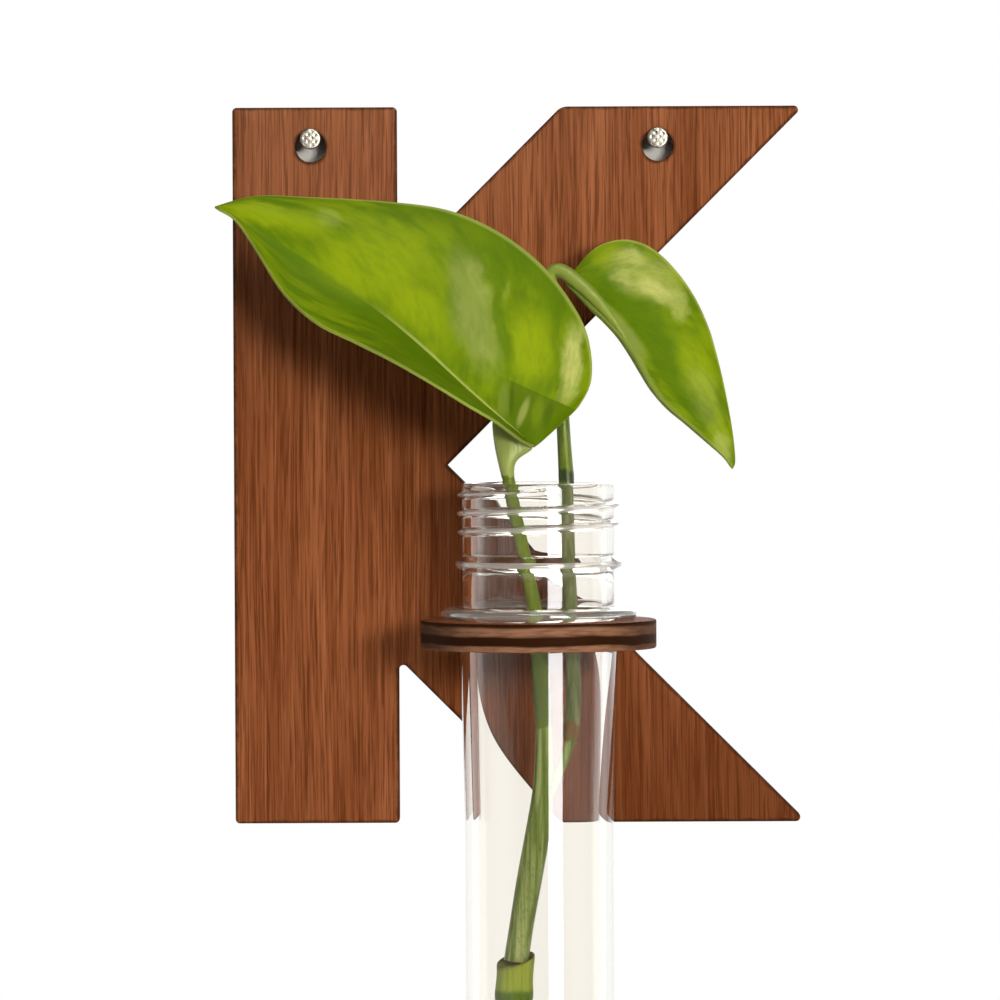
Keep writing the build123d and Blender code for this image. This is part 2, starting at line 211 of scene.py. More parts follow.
# Stalks in mm: points of x, y, z and radius
LEFT_STALK = (
    ((9.7, -25.7, -101.0, 1.2), (9.6, -25.8, -97.0, 1.55), (9.2, -26.2, -90.0, 1.5), (8.5, -26.6, -82.5, 1.25))
    + ((7.7, -26.9, -76.0, 1.15), (6.2, -27.0, -69.0, 1.12), (4.8, -27.0, -62.5, 1.12), (3.9, -27.0, -57.6, 1.1))
)
RIGHT_STALK = (
    ((13.65, -18.2, -57.0, 1.3), (13.4, -18.0, -53.0, 1.15), (12.9, -17.1, -43.0, 1.1), (12.2, -16.0, -33.0, 1.0))
    + ((11.8, -15.4, -27.0, 0.95), (10.9, -15.0, -23.0, 1.1), (12.6, -15.3, -22.2, 1.25), (15.6, -16.3, -24.4, 1.3))
    + ((18.4, -17.4, -27.0, 1.15), (20.8, -18.1, -29.9, 0.85), (22.8, -18.8, -32.6, 0.5), (24.6, -19.4, -35.6, 0.25))
)
SHEATH = (
    ((14.2, -25.5, -101.6, 1.2), (14.3, -25.2, -99.9, 1.5), (14.7, -24.6, -97.0, 1.25), (14.8, -23.6, -91.0, 1.25))
    + ((14.4, -21.6, -79.4, 1.2), (14.0, -19.8, -68.1, 1.2), (13.65, -18.2, -56.9, 1.32))
)
STEM = (
    ((9.65, -25.7, -97.0, 1.2), (9.75, -25.7, -100.0, 1.5), (9.7, -25.6, -105.0, 1.6), (9.6, -25.6, -109.5, 1.75))
    + ((8.7, -25.6, -116.5, 2.1), (7.0, -25.6, -125.5, 2.15), (5.6, -25.6, -133.5, 2.0), (4.85, -25.6, -138.6, 2.1))
)
BRANCH = (
    ((14.4, -25.4, -99.6, 1.0), (13.9, -25.5, -102.5, 0.9), (12.6, -25.6, -106.0, 0.85))
    + ((10.8, -25.6, -109.5, 0.9), (9.4, -25.6, -113.0, 0.8))
)

# The left stalk's flared knee in mm: middle, half width, half depth and slant in degrees
KNEE = (
    ((4.05, -27.0, -58.6), 1.09, 1.09, 4),
    ((3.6, -27.0, -56.0), 1.15, 1.1, 4),
    ((3.5, -27.1, -54.1), 1.65, 1.05, 14),
    ((3.85, -27.2, -52.4), 2.7, 0.95, 27),
    ((4.25, -27.3, -51.1), 3.6, 0.8, 33),
    ((4.6, -27.4, -50.1), 4.2, 0.6, 35),
    ((4.8, -27.5, -49.4), 4.0, 0.25, 35),
)

# The stem's cut end, with z from the collar's foot, and the roots, with z from their own top
STEM_END = ((3.8, -25.6, 0.8, 2.0), (3.3, -25.6, -2.6, 1.9), (2.8, -25.6, -6.5, 1.8), (2.55, -25.6, -8.6, 1.5))
ROOTS = (
    ((0.9, -25.6, 0.2), (0.2, -25.6, -4.0), (-0.2, -25.7, -8.5), (0.0, -25.9, -12.0), (-0.3, -26.0, -16.0)),
    ((3.2, -22.8, -0.2), (2.7, -22.7, -4.5), (3.2, -21.0, -10.5), (5.4, -18.6, -16.0), (7.2, -17.0, -20.0)),
    ((6.4, -24.6, -0.6), (6.0, -24.6, -5.0), (8.2, -24.2, -12.0), (13.0, -23.4, -19.5), (17.4, -22.9, -24.0)),
)
ROOT_RADII = (0.62, 0.56, 0.54, 0.46, 0.24)

# Bands across a stalk: lowest and highest z in metres, colour and strength
# Painted light: a paler band on the left stalk's knee, which lies in the big leaf's shade
KNEE_LIGHT_BAND = ((-0.0572, -0.045), (0.36, 0.41, 0.11), 0.75)
# A darker, greyer band on the left stalk just under the ring
UNDER_RING_BAND = ((-0.0985, -0.0855), (0.11, 0.145, 0.06), 0.6)
RIM_BAND = ((-0.0584, -0.0562), (0.025, 0.04, 0.008), 0.85)
HOOK_BAND = ((-0.04, -0.015), (0.27, 0.34, 0.05), 0.85)
SCALE_BAND = ((-0.1013, -0.0985), (0.16, 0.07, 0.02), 0.8)
BAND_BLUR = 0.0006

# The collar's outline in mm from its cup's floor over the lip and down its outside: radius and depth
COLLAR = (
    ((0, 2.4), (2.0, 2.4), (2.45, 1.9), (2.7, 0.8), (2.85, -0.2), (2.95, -0.75), (3.04, -0.95))
    + ((3.12, -1.0), (3.2, -0.9), (3.24, -0.6), (3.22, 0.2), (3.14, 1.2), (3.1, 2.4), (3.1, 3.4))
    + ((3.2, 4.6), (3.28, 5.6), (3.2, 6.6), (2.9, 7.4), (2.3, 7.85), (0, 7.95))
)
COLLAR_LIP = 1.45

# Lamps: name, azimuth and elevation in degrees, distance, width, height, power and colour
LAMPS = (
    ("window_key", 21, 7, 1.2, 0.3, 0.2, 8.8, (1.0, 0.98, 0.95)),
    ("sky_soft", 10, 34, 1.3, 0.6, 0.4, 4.9, (1.0, 0.99, 0.97)),
    ("ceiling_card", 5, 58, 1.2, 0.9, 0.35, 8.0, (1.0, 0.99, 0.97)),
    ("soft_fill", -45, 15, 1.4, 1.0, 1.0, 1.0, (1.0, 1.0, 1.0)),
    ("rear_fill", 180, 25, 1.4, 1.2, 1.0, 8.0, (1.0, 1.0, 1.0)),
)
LAMP_TARGET = Vector((0.005, -0.02, -0.055))
FLOOR_DROP = 0.03


class VaseSizes(bpy.types.PropertyGroup):
    """Sizes of the visible pieces that a user may want to change."""

    char_width: FloatProperty(
        name="Char width",
        description="Width of the burnt band along the board's cut edges",
        default=0.001,
        unit="LENGTH",
    )
    edge_round: FloatProperty(
        name="Edge round",
        description="Bevel on the cut edges of the board and the ring",
        default=0.0002,
        unit="LENGTH",
    )
    thread_pitch: FloatProperty(
        name="Thread pitch", description="Rise of the tube's thread in one turn", default=0.0031, unit="LENGTH"
    )
    thread_reach: FloatProperty(
        name="Thread reach",
        description="How far the thread stands out of the tube's neck",
        default=0.0009,
        unit="LENGTH",
    )
    leaf_thickness: FloatProperty(
        name="Leaf thickness", description="Thickness of both leaf blades", default=0.0005, unit="LENGTH"
    )
    camera_distance: FloatProperty(
        name="Camera distance",
        description="Distance of the camera from the wall's plane",
        default=1.40465,
        unit="LENGTH",
    )


class VaseColours(bpy.types.PropertyGroup):
    """Colours of the finishes."""

    wood_light: FloatVectorProperty(
        name="Wood light", description="Lighter streaks of the board", subtype="COLOR", default=(0.372, 0.125, 0.047)
    )
    wood_dark: FloatVectorProperty(
        name="Wood dark", description="Darker streaks of the board", subtype="COLOR", default=(0.150, 0.037, 0.008)
    )
    # Painted light, added to the wood towards the board's top left
    wood_top_painted_light: FloatVectorProperty(
        name="Wood top",
        description="Added to the wood towards the board's top left",
        subtype="COLOR",
        default=(0.04, 0.024, 0.016),
    )
    # Pore colour, also used for the painted shade down the board's leg
    wood_pore_and_leg_shade: FloatVectorProperty(
        name="Wood pore", description="Short dark pores of the board", subtype="COLOR", default=(0.085, 0.019, 0.004)
    )
    char: FloatVectorProperty(
        name="Char", description="Burnt wood along the cut edges", subtype="COLOR", default=(0.022, 0.009, 0.004)
    )
    ply_pale: FloatVectorProperty(
        name="Ply pale", description="Pale plies on the ring's edge", subtype="COLOR", default=(0.325, 0.155, 0.085)
    )
    # Also the painted shade towards the ring's left and right ends
    ply_dark_and_shade: FloatVectorProperty(
        name="Ply dark",
        description="Dark core and burnt lips of the ring's edge",
        subtype="COLOR",
        default=(0.028, 0.009, 0.003),
    )
    leaf_light: FloatVectorProperty(
        name="Leaf light", description="Yellow-green of the leaf blades", subtype="COLOR", default=(0.21, 0.3, 0.003)
    )
    # Also the painted shade in the valley below the big leaf's midrib
    leaf_dark_and_shade: FloatVectorProperty(
        name="Leaf dark", description="Deep green of the leaf blades", subtype="COLOR", default=(0.09, 0.172, 0.001)
    )
    leaf_bright: FloatVectorProperty(
        name="Leaf bright",
        description="Brightest yellow-green patches of the leaf blades",
        subtype="COLOR",
        default=(0.29, 0.38, 0.004),
    )
    # Also the painted reflection of the window on the big leaf
    leaf_grey_and_sheen: FloatVectorProperty(
        name="Leaf grey", description="Greyish waxy patch of the big leaf", subtype="COLOR", default=(0.26, 0.32, 0.06)
    )
    # Also the painted reflection of the window on both leaves
    leaf_cream_and_sheen: FloatVectorProperty(
        name="Leaf cream",
        description="Pale patches, midrib and rim of the leaf blades",
        subtype="COLOR",
        default=(0.55, 0.57, 0.15),
    )
    # Painted shade at the big leaf's base
    leaf_shade: FloatVectorProperty(
        name="Leaf shade",
        description="Darkest green at the big leaf's base",
        subtype="COLOR",
        default=(0.095, 0.16, 0.001),
    )
    stalk: FloatVectorProperty(
        name="Stalk", description="Green of the stalks and the stem", subtype="COLOR", default=(0.115, 0.165, 0.012)
    )
    collar: FloatVectorProperty(
        name="Collar", description="Lime of the node collar", subtype="COLOR", default=(0.19, 0.235, 0.01)
    )
    nail: FloatVectorProperty(
        name="Nail", description="Bright plated steel of the nails", subtype="COLOR", default=(0.33, 0.3, 0.245)
    )


def clear_selection():
    """Leave edit mode and deselect every object."""
    if bpy.context.object is not None and bpy.context.object.mode != "OBJECT":
        bpy.ops.object.mode_set(mode="OBJECT")
    bpy.ops.object.select_all(action="DESELECT")


def pick(piece):
    """Select one piece alone and make it the active one."""
    clear_selection()
    piece.select_set(True)
    bpy.context.view_layer.objects.active = piece


def open_piece(piece):
    """Open one piece in edit mode with all of it selected."""
    pick(piece)
    bpy.ops.object.mode_set(mode="EDIT")
    bpy.ops.mesh.select_all(action="SELECT")


def close_piece(threshold):
    """Merge the near points of the open piece, turn its faces outwards and leave edit mode."""
    bpy.ops.mesh.select_all(action="SELECT")
    bpy.ops.mesh.remove_doubles(threshold=threshold)
    bpy.ops.mesh.normals_make_consistent(inside=False)
    bpy.ops.object.mode_set(mode="OBJECT")


def settle():
    """Write the place, turn and scale of the selected objects into their meshes."""
    bpy.ops.object.transform_apply(location=True, rotation=True, scale=True)


def new_object(name, data):
    """A new object in the scene, made from its data."""
    made = bpy.data.objects.new(name, data)
    bpy.context.scene.collection.objects.link(made)
    return made


def apply_modifier(piece, kind, **settings):
    """Give the active piece a modifier and apply it."""
    made = piece.modifiers.new(kind.lower(), kind)
    for key, value in settings.items():
        setattr(made, key, value)
    bpy.ops.object.modifier_apply(modifier=made.name)


def copy_node(name, title):
    """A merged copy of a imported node's mesh, left open in edit mode."""
    piece = new_object(title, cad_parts[name].data.copy())
    open_piece(piece)
    bpy.ops.mesh.remove_doubles(threshold=0.000001)
    return piece


def finish_piece(piece, body, material, nodes, smooth):
    """Shade a piece up to an angle in degrees, give it its material and hang it on its body."""
    pick(piece)
    settle()
    bpy.ops.object.shade_smooth_by_angle(angle=math.radians(smooth))
    piece.data.materials.clear()
    piece.data.materials.append(material)
    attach(piece, body)
    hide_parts(*nodes)


def turned(name, profile, middle, axis, steps):
    """A closed turned piece: a profile of radius and height in mm, spun about an axis through the middle."""
    clear_selection()
    axis = Vector(axis).normalized()
    out = axis.orthogonal().normalized()
    bpy.ops.mesh.primitive_plane_add(size=MM)
    piece = bpy.context.object
    piece.name = name
    open_piece(piece)
    bpy.ops.mesh.merge(type="CENTER")
    spots = [Vector(middle) * MM + out * (radius * MM) + axis * (height * MM) for radius, height in profile]
    bpy.ops.transform.translate(value=spots[0])
    for low, high in zip(spots, spots[1:]):
        bpy.ops.mesh.extrude_vertices_move(TRANSFORM_OT_translate={"value": high - low})
    bpy.ops.mesh.select_all(action="SELECT")
    bpy.ops.mesh.spin(steps=steps, angle=math.tau, center=Vector(middle) * MM, axis=axis)
    close_piece(0.000002)
    return piece


def stalk_tube(name, points, sides=8):
    """A round stalk along points of x, y, z and radius in mm, as a closed mesh."""
    line = bpy.data.curves.new(name, "CURVE")
    line.dimensions = "3D"
    line.bevel_depth = MM
    line.bevel_resolution = sides
    line.resolution_u = 10
    line.use_fill_caps = True
    spline = line.splines.new("NURBS")
    spline.points.add(len(points) - 1)
    for point, (x, y, z, radius) in zip(spline.points, points):
        point.co = (x * MM, y * MM, z * MM, 1)
        point.radius = radius
    spline.order_u = 3
    spline.use_endpoint_u = True
    pick(new_object(name, line))
    bpy.ops.object.convert(target="MESH")
    piece = bpy.context.object
    open_piece(piece)
    close_piece(0.000001)
    return piece


def skinned(name, sections):
    """A closed body bridged through ellipses: middle, half width, half depth in mm and slant in degrees."""
    clear_selection()
    for number, (middle, width, depth, slant) in enumerate(sections):
        spot = Vector(middle) * MM
        bpy.ops.mesh.primitive_circle_add(vertices=32, radius=MM, location=spot)
        if number == 0:
            piece = bpy.context.object
            piece.name = name
            settle()
            open_piece(piece)
        bpy.ops.transform.resize(value=(width, depth, 1), center_override=spot)
        bpy.ops.transform.rotate(value=-math.radians(slant), orient_axis="Y", center_override=spot)
    bpy.ops.mesh.select_all(action="SELECT")
    bpy.ops.mesh.bridge_edge_loops()
    bpy.ops.mesh.select_all(action="SELECT")
    bpy.ops.mesh.fill_holes(sides=0)
    close_piece(0.000001)
    apply_modifier(piece, "SUBSURF", levels=1, render_levels=1)
    return piece


def join_pieces(pieces, name):
    """Join pieces into one object."""
    pick(pieces[0])
    for piece in pieces[1:]:
        piece.select_set(True)
    bpy.ops.object.join()
    joined = bpy.context.object
    joined.name = name
    return joined


def clamp(value):
    """A number held between 0 and 1."""
    return min(max(value, 0), 1)


def between(first, second, share):
    """A number at a share of the way between two others."""
    return first + (second - first) * share


def through(rows, share):
    """The numbers of a table at a share of the way, on a smooth line through its rows."""
    last = len(rows) - 1
    at = next((i for i in range(last) if share <= rows[i + 1][0]), last - 1)
    before, low, high, after = (rows[min(max(i, 0), last)] for i in (at - 1, at, at + 1, at + 2))
    span = high[0] - low[0]
    t = (share - low[0]) / span
    found = []
    for a, b, c, d in zip(before[1:], low[1:], high[1:], after[1:]):
        out = (c - a) * span / (high[0] - before[0])
        into = (d - b) * span / (after[0] - low[0])
        found.append(
            b * (2 * t**3 - 3 * t**2 + 1)
            + out * (t**3 - 2 * t**2 + t)
            + c * (3 * t**2 - 2 * t**3)
            + into * (t**3 - t**2)
        )
    return found


def leaf_sheet(name, place, along, across, thickness):
    """A leaf blade: a grid whose points are set by a place function of two shares, then thickened."""
    clear_selection()
    bpy.ops.mesh.primitive_grid_add(x_subdivisions=along, y_subdivisions=across, size=1)
    piece = bpy.context.object
    piece.name = name
    for point in piece.data.vertices:
        point.co = place(point.co.x + 0.5, point.co.y + 0.5)
    open_piece(piece)
    close_piece(0.00001)
    apply_modifier(piece, "SOLIDIFY", thickness=thickness, offset=0)
    return piece


def is_socket(value):
    """Whether a value is a node's socket."""
    return isinstance(value, bpy.types.NodeSocket)


def tree_of(*values):
    """The node tree of the first socket among some values."""
    return next(value.id_data for value in values if is_socket(value))


def node(tree, kind, inputs=None, **settings):
    """A new shader node with its settings made and its inputs set or linked."""
    made = tree.nodes.new(kind)
    for key, value in settings.items():
        setattr(made, key, value)
    for key, value in (inputs or {}).items():
        if is_socket(value):
            tree.links.new(value, made.inputs[key])
        else:
            made.inputs[key].default_value = value
    return made


def wire(end, **values):
    """Link values to a node's inputs, which are named with low lines for spaces."""
    for key, value in values.items():
        end.id_data.links.new(value, end.inputs[key.replace("_", " ")])


def calc(operation, first, second=0.0, clamped=False):
    """A number worked out from two others."""
    inputs = {0: first, 1: second}
    return node(tree_of(first, second), "ShaderNodeMath", inputs, operation=operation, use_clamp=clamped).outputs[0]


def times(first, second):
    """The product of two numbers."""
    return calc("MULTIPLY", first, second)


def vector_calc(operation, first, second=(0, 0, 0)):
    """A vector or a number worked out from two vectors."""
    made = node(first.id_data, "ShaderNodeVectorMath", {0: first, 1: second}, operation=operation)
    return made.outputs["Value" if operation in ("DOT_PRODUCT", "LENGTH") else "Vector"]


def split(vector):
    """The x, y and z of a vector."""
    return node(vector.id_data, "ShaderNodeSeparateXYZ", {0: vector}).outputs[:]


def cloud(vector, scale, detail=2.0, roughness=0.5):
    """Soft noise between 0 and 1 on a vector scaled along its axes."""
    inputs = {"Vector": vector_calc("MULTIPLY", vector, scale), "Scale": 1.0, "Detail": detail, "Roughness": roughness}
    return node(vector.id_data, "ShaderNodeTexNoise", inputs).outputs[0]


def rise(value, low, high, start=0.0, end=1.0):
    """A smooth step of a value between two limits."""
    inputs = {"Value": value, "From Min": low, "From Max": high, "To Min": start, "To Max": end}
    return node(value.id_data, "ShaderNodeMapRange", inputs, interpolation_type="SMOOTHSTEP").outputs[0]


def mix(share, first, second):
    """A number mixed from two others."""
    return node(share.id_data, "ShaderNodeMix", {0: share, 2: first, 3: second}, data_type="FLOAT").outputs[0]


def tint(share, first, second, way="MIX"):
    """A colour mixed from two others, each a socket or red, green and blue."""
    first, second = (tone if is_socket(tone) else (*tone, 1.0) for tone in (first, second))
    inputs = {0: share, 6: first, 7: second}
    return node(share.id_data, "ShaderNodeMix", inputs, data_type="RGBA", blend_type=way).outputs[2]


def patch(spot, middle, reach, tilt, power):
    """A soft oval patch, seen from the front: middle x z and half width and height in mm, tilt in degrees."""
    place = {
        "Vector": spot,
        "Location": (middle[0] * MM, 0, middle[1] * MM),
        "Rotation": (0, math.radians(tilt), 0),
        "Scale": (reach[0] * MM, 1, reach[1] * MM),
    }
    away = node(spot.id_data, "ShaderNodeMapping", place, vector_type="TEXTURE").outputs[0]
    return rise(vector_calc("LENGTH", away), 1.0, 0.35, 0.0, power)


def band(value, limits):
    """A mask that rises between the first two limits of a value and falls between the last two."""
    first, full, last, gone = limits
    return times(rise(value, first, full), rise(value, gone, last))


def bump(height, distance, strength):
    """A bumped normal."""
    inputs = {"Height": height, "Distance": distance, "Strength": strength}
    return node(height.id_data, "ShaderNodeBump", inputs).outputs[0]


def new_material(name, **constants):
    """A material with one Principled shader, its plain sockets set."""
    material = bpy.data.materials.new(name)
    material.use_nodes = True
    tree = material.node_tree
    tree.nodes.clear()
    shader = node(tree, "ShaderNodeBsdfPrincipled")
    for key, value in constants.items():
        shader.inputs[key.replace("_", " ")].default_value = value
    node(tree, "ShaderNodeOutputMaterial", {"Surface": shader.outputs[0]})
    return material, shader


def coordinates(shader, kind="Object"):
    """Texture coordinates in a shader's tree."""
    return node(shader.id_data, "ShaderNodeTexCoord").outputs[kind]


def new_group(name, vectors, values):
    """An empty node group with vectors in and values out: its inputs and its end node."""
    tree = bpy.data.node_groups.new(name, "ShaderNodeTree")
    for label in vectors:
        tree.interface.new_socket(label, in_out="INPUT", socket_type="NodeSocketVector")
    for label in values:
        tree.interface.new_socket(label, in_out="OUTPUT", socket_type="NodeSocketFloat")
    return node(tree, "NodeGroupInput").outputs, node(tree, "NodeGroupOutput")


def use_group(name, **inputs):
    """The outputs of a group that is placed in the tree of its inputs."""
    group = bpy.data.node_groups[name]
    return node(tree_of(*inputs.values()), "ShaderNodeGroup", inputs, node_tree=group).outputs


def build_groups():
    """The shared effects: wood grain, distance from a cut edge, leaf tissue and stalk streaks."""
    start, end = new_group("wood_grain", ["Vector"], ["Streak", "Pore"])
    spot = start["Vector"]
    sway = times(cloud(spot, (30, 30, 9)), 0.004)
    spot = vector_calc("ADD", spot, node(sway.id_data, "ShaderNodeCombineXYZ", {"X": sway}).outputs[0])
    broad = times(cloud(spot, (130, 130, 6), 3.0), 0.4)
    fine = times(cloud(spot, (1500, 1500, 30), 4.0, 0.7), 0.6)
    pore = cloud(spot, (3600, 3600, 80), 2.0, 0.6)
    wire(end, Streak=rise(calc("ADD", broad, fine), 0.3, 0.7), Pore=rise(pore, 0.49, 0.62))

    start, end = new_group("cut_edge", ["Vector", "Start", "Run"], ["Distance"])
    run = start["Run"]
    away = vector_calc("SUBTRACT", start["Vector"], start["Start"])
    share = calc("DIVIDE", vector_calc("DOT_PRODUCT", away, run), vector_calc("DOT_PRODUCT", run, run), True)
    foot = node(run.id_data, "ShaderNodeVectorMath", {0: run, "Scale": share}, operation="SCALE").outputs[0]
    wire(end, Distance=vector_calc("LENGTH", vector_calc("SUBTRACT", away, foot)))

    start, end = new_group("leaf_tissue", ["UV"], ["Out", "Mottle", "Fine", "Rim", "Midrib"])
    along, across, _ = split(start["UV"])
    out = calc("SUBTRACT", times(across, 2.0), 1.0)
    side = calc("ABSOLUTE", out)
    swept = {0: calc("SUBTRACT", along, times(side, 0.36)), 1: out}
    swept = node(out.id_data, "ShaderNodeCombineXYZ", swept).outputs[0]
    mottle = cloud(swept, (12, 3.4, 1), 5.0, 0.6)
    fine = cloud(swept, (42, 11, 1), 4.0, 0.65)
    slim = times(rise(side, 0.028, 0.008), rise(along, 0.68, 0.5))
    wire(end, Out=out, Mottle=rise(mottle, 0.3, 0.7), Fine=rise(fine, 0.25, 0.7))
    wire(end, Rim=rise(side, 0.965, 0.985), Midrib=slim)

    start, end = new_group("stalk_streaks", ["Vector"], ["Streak", "Speck"])
    streak = cloud(start["Vector"], (800, 800, 28), 3.0, 0.6)
    speck = cloud(start["Vector"], (2400, 2400, 1300))
    wire(end, Streak=rise(streak, 0.36, 0.64), Speck=rise(speck, 0.55, 0.72))


def grain_tone(colours, vector):
    """Reddish wood with fine streaks and short dark pores: its colour and its grain."""
    grain = use_group("wood_grain", Vector=vector)
    tone = tint(grain["Streak"], colours.wood_dark, colours.wood_light)
    return tint(times(grain["Pore"], 0.6), tone, colours.wood_pore_and_leg_shade), grain


def wire_wood(shader, tone, grain):
    """Link the colour of wood, and the roughness and relief of its grain."""
    depth = calc("SUBTRACT", times(grain["Streak"], 0.4), grain["Pore"])
    rough = rise(grain["Pore"], 0.0, 1.0, 0.48, 0.68)
    wire(shader, Base_Color=tone, Roughness=rough, Normal=bump(depth, 0.00006, 0.5))


def board_material(name, colours, edges, width):
    """Veneer with painted light towards the top left and painted shade down the leg, burnt along its cut edges and
    round its hanging holes.
    """
    material, shader = new_material(name, Specular_IOR_Level=0.03)
    spot = coordinates(shader)
    tone, grain = grain_tone(colours, spot)
    x, _, z = split(spot)
    # Painted shade: the wood darkens to the pore colour down the leg, towards the bottom right
    tone = tint(rise(calc("SUBTRACT", x, z), 0.09, 0.16, 0.0, 0.65), tone, colours.wood_pore_and_leg_shade)
    # Painted light: a lighter tone added towards the board's top left
    up = calc("SUBTRACT", z, times(x, 0.5))
    tone = tint(rise(up, -0.04, 0.02), tone, colours.wood_top_painted_light, "ADD")
    flat = vector_calc("MULTIPLY", spot, (1, 0, 1))
    gaps = [use_group("cut_edge", Vector=flat, Start=start, Run=run)["Distance"] for start, run in edges]
    for side in (-NAIL_SIDE, NAIL_SIDE):
        away = vector_calc("LENGTH", vector_calc("SUBTRACT", flat, (side, 0, -HOLE_DROP)))
        gaps.append(calc("SUBTRACT", away, HOLE_RADIUS))
    near = gaps[0]
    for gap in gaps[1:]:
        near = calc("MINIMUM", near, gap)
    ragged = times(cloud(spot, (500, 500, 500), 3.0), width * 0.8)
    burnt = rise(calc("ADD", near, ragged), width * 1.1, width * 0.5, 0.0, 0.75)
    wire_wood(shader, tint(burnt, tone, colours.char), grain)
    return material


def ring_material(name, colours):
    """The ring: grain on its flat faces, and on its round edge two pale plies between dark ones, with painted shade
    towards its left and right ends.
    """
    material, shader = new_material(name, Specular_IOR_Level=0.02)
    spot = coordinates(shader)
    turn = {"Vector": spot, "Rotation": (0, math.pi / 2, 0)}
    tone, grain = grain_tone(colours, node(shader.id_data, "ShaderNodeMapping", turn).outputs[0])
    down = calc("SUBTRACT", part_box("tube_ring")[1].z, split(spot)[2])
    wave = calc("SUBTRACT", cloud(spot, (90, 90, 300)), 0.5)
    down = calc("ADD", down, times(wave, 0.0009))
    upper = band(down, (0.0004, 0.001, 0.0018, 0.0024))
    lower = band(down, (0.0036, 0.004, 0.0049, 0.0055))
    fleck = rise(cloud(spot, (260, 260, 2200), 3.0), 0.3, 0.62, 0.55, 1.0)
    edge = tint(times(calc("MAXIMUM", upper, lower), fleck), colours.ply_dark_and_shade, colours.ply_pale)
    # Painted shade: the edge darkens towards the ring's left and right ends, where it faces away from the front light
    facing = split(node(shader.id_data, "ShaderNodeNewGeometry").outputs["Normal"])
    shaded_ends = rise(calc("ABSOLUTE", facing[0]), 0.45, 0.98, 0.0, 0.6)
    edge = tint(shaded_ends, edge, colours.ply_dark_and_shade)
    level = calc("ABSOLUTE", facing[2])
    wire_wood(shader, tint(rise(level, 0.9, 0.6), tone, edge), grain)
    return material


def cut_edges(piece):
    """The long straight edges of the board's front face, seen from the front, as start and run."""
    found = []
    for edge in bmesh.from_edit_mesh(piece.data).edges:
        front = [face for face in edge.link_faces if face.normal.y < -FLAT]
        if len(front) == 1 and edge.calc_length() > 0.005:
            start, end = (Vector((point.co.x, 0, point.co.z)) for point in edge.verts)
            found.append((start, end - start))
    return found


def round_edges(piece, axis, width):
    """Bevel the rims of an open piece's flat faces, which lie across an axis."""
    mesh = bmesh.from_edit_mesh(piece.data)
    for edge in mesh.edges:
        flats = [face for face in edge.link_faces if abs(face.normal[axis]) > FLAT]
        edge.select_set(len(flats) == 1)
    bmesh.update_edit_mesh(piece.data)
    bpy.ops.mesh.bevel(offset=width, segments=2, affect="EDGES", loop_slide=False)


class VASE_OT_board(bpy.types.Operator):
    """Dress the letter board with grain and burnt edges"""

    bl_idname = "vase.board"
    bl_label = "Letter board"

    def execute(self, context):
        sizes = context.scene.vase_sizes
        piece = copy_node("letter_board", "board_wood")
        edges = cut_edges(piece)
        round_edges(piece, 1, sizes.edge_round)
        material = board_material("board_veneer", context.scene.vase_colours, edges, sizes.char_width)
        finish_piece(piece, "board", material, ["letter_board"], 20)
        return {"FINISHED"}


class VASE_OT_ring(bpy.types.Operator):
    """Dress the tube ring with its plies"""

    bl_idname = "vase.ring"
    bl_label = "Tube ring"

    def execute(self, context):
        piece = copy_node("tube_ring", "ring_wood")
        round_edges(piece, 2, context.scene.vase_sizes.edge_round * 1.5)
        material = ring_material("ring_ply", context.scene.vase_colours)
        finish_piece(piece, "board", material, ["tube_ring"], 20)
        return {"FINISHED"}


def nail_profile(front, tip):
    """A nail's outline in mm, from the middle of its head to its tip."""
    rows = [(0.1 * step, front + NAIL_DISH) for step in range(16)]
    rows += [(radius, front + back) for radius, back in NAIL_RIM]
    for step in range(6):
        rows += [(radius, front + back + NAIL_GRIP_STEP * step) for radius, back in NAIL_GRIP]
    return rows + [(1.2, -0.05), (1.0, 0), (1.0, 16.2), (0.2, tip - 0.05), (0, tip)]


class VASE_OT_nails(bpy.types.Operator):
    """Model the two wall nails with waffled heads"""

    bl_idname = "vase.nails"
    bl_label = "Wall nails"

    def execute(self, context):
        low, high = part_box("wall_nails")
        front = low.y / MM
        profile = nail_profile(front, high.y / MM)
        nail = turned("nails_plated", profile, (NAIL_SIDE / MM, 0, 0), (0, 1, 0), 64)
        for point in nail.data.vertices:
            if point.co.y < (front + 0.06) * MM:
                across, up = (point.co.x - NAIL_SIDE) / MM, point.co.z / MM
                cells = math.sin(across * 5.2 + 0.4) * math.sin(up * 5.2 + 0.9)
                dish = NAIL_DISH * max(0, 1 - math.hypot(across, up) / 1.5)
                point.co.y += (0.05 * max(0.0, cells) - dish) * MM
        pick(nail)
        bpy.ops.object.duplicate()
        twin = context.object
        bpy.ops.transform.translate(value=(-2 * NAIL_SIDE, 0, 0))
        settle()
        pair = join_pieces([nail, twin], "nails_plated")
        material, shader = new_material("nail_plating", Metallic=1.0)
        dull = cloud(coordinates(shader), (900, 900, 900), 3.0)
        tone = tint(rise(dull, 0.5, 0.8, 0, 0.35), context.scene.vase_colours.nail, (0.3, 0.27, 0.22))
        wire(shader, Base_Color=tone, Roughness=rise(dull, 0.3, 0.75, 0.3, 0.48))
        finish_piece(pair, "board", material, ["wall_nails"], 40)
        return {"FINISHED"}


